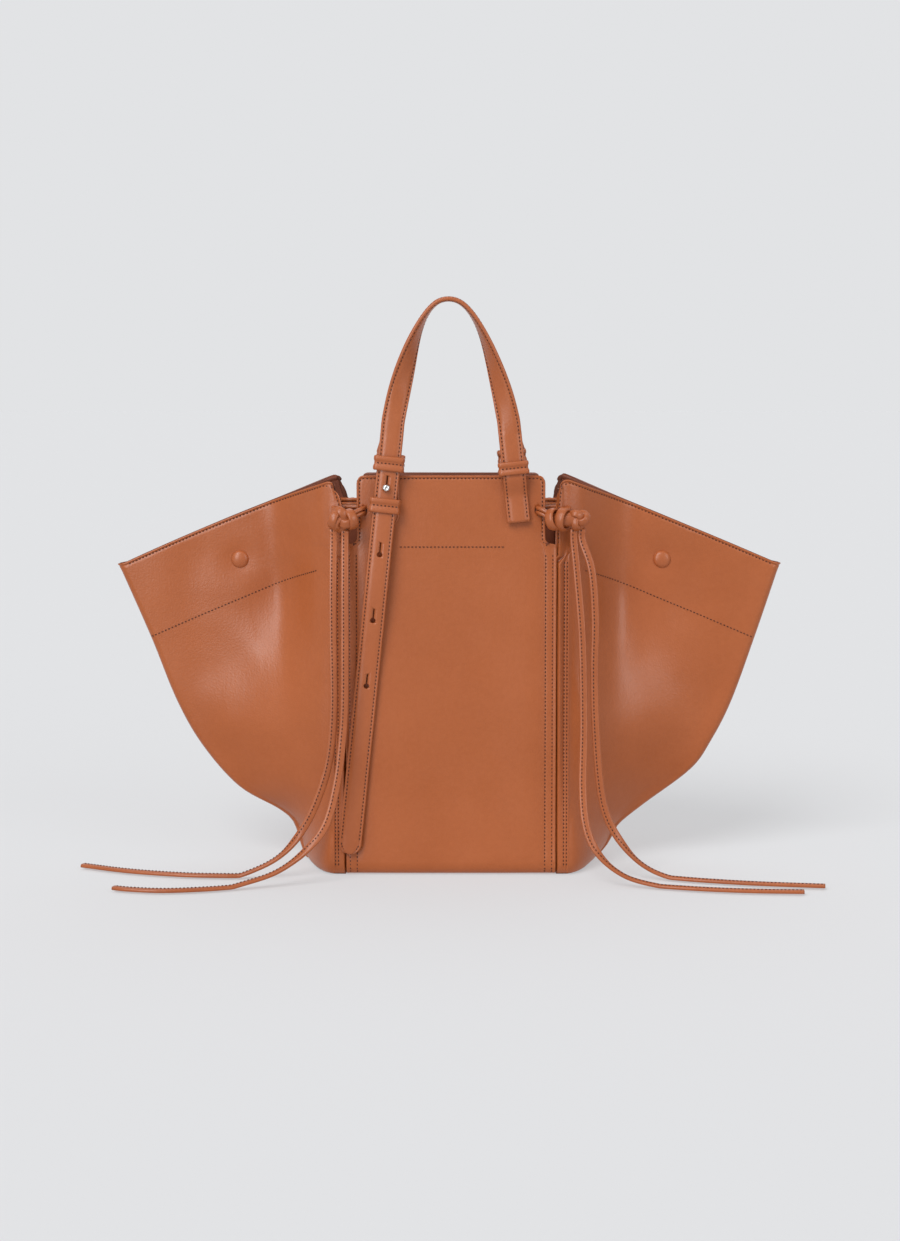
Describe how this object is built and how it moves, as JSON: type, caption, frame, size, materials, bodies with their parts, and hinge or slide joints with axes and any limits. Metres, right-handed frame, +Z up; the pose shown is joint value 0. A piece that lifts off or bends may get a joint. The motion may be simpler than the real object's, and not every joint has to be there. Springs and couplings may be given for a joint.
{
  "type": "tote bag",
  "caption": "Leather tote bag with winged side gussets held by snaps, tied corners with long cord tails, and two flat handles adjusted by a ball stud in keyholes.",
  "frame": {"origin": "on the ground, at the middle of the base's underside", "axes": "+X from the bag's left wing to its right wing, +Y from front to back, +Z up"},
  "size_m": [0.6156, 0.2648, 0.4771],
  "materials": {
    "leather": "smooth tan leather, satin",
    "leather_back": "suede-like back",
    "base_board": "matt board",
    "steel": "polished"
  },
  "bodies": {
    "bag": {"back_facing": "leather_back", "back_left_tail_inner": "leather", "back_left_tail_outer": "leather", "back_left_tie_knot": "leather", "back_panel": "leather", "back_right_tail_inner": "leather", "back_right_tail_outer": "leather", "back_right_tie_knot": "leather", "base_board": "base_board", "base_panel": "leather", "front_anchor_tab": "leather", "front_ball_stud": "steel", "front_end_keeper": "leather", "front_facing": "leather_back", "front_left_tail_inner": "leather", "front_left_tail_outer": "leather", "front_left_tie_knot": "leather", "front_panel": "leather", "front_right_tail_inner": "leather", "front_right_tail_outer": "leather", "front_right_tie_knot": "leather", "front_strap_bend_adjustable": "leather", "front_strap_bend_sewn": "leather", "front_strap_end": "leather", "front_strap_tail": "leather", "front_stud_screw": "steel", "front_upper_keeper": "leather", "left_gusset": "leather", "left_gusset_facing": "leather_back", "left_snap_back_cap": "leather", "left_snap_front_cap": "leather", "left_snap_socket": "steel", "left_snap_stud": "steel", "rear_anchor_tab": "leather", "rear_ball_stud": "steel", "rear_end_keeper": "leather", "rear_strap_bend_adjustable": "leather", "rear_strap_bend_sewn": "leather", "rear_strap_end": "leather", "rear_strap_tail": "leather", "rear_stud_screw": "steel", "rear_upper_keeper": "leather", "right_gusset": "leather", "right_gusset_facing": "leather_back", "right_snap_back_cap": "leather", "right_snap_front_cap": "leather", "right_snap_socket": "steel", "right_snap_stud": "steel"},
    "front_handle": {"front_handle": "leather"},
    "rear_handle": {"rear_handle": "leather"},
    "front_keeper": {"front_free_keeper": "leather"},
    "rear_keeper": {"rear_free_keeper": "leather"}
  },
  "joints": [
    {"name": "front_handle_swing", "type": "hinge", "parent": "bag", "child": "front_handle", "pos_m": [0, -0.06337, 0.3585], "axis": [1, 0, 0], "range_deg": [-20, 180], "deforming": ["front_strap_bend_adjustable", "front_strap_bend_sewn"]},
    {"name": "rear_handle_swing", "type": "hinge", "parent": "bag", "child": "rear_handle", "pos_m": [0, 0.06337, 0.3585], "axis": [1, 0, 0], "range_deg": [0, 200], "deforming": ["rear_strap_bend_adjustable", "rear_strap_bend_sewn"]},
    {"name": "front_free_keeper_slide", "type": "slide", "parent": "bag", "child": "front_keeper", "axis": [-0.1045, -0.0429, -0.9936], "range_m": [-0.004, 0.04]},
    {"name": "rear_free_keeper_slide", "type": "slide", "parent": "bag", "child": "rear_keeper", "axis": [0.1045, 0.0429, -0.9936], "range_m": [-0.004, 0.04]}
  ]
}
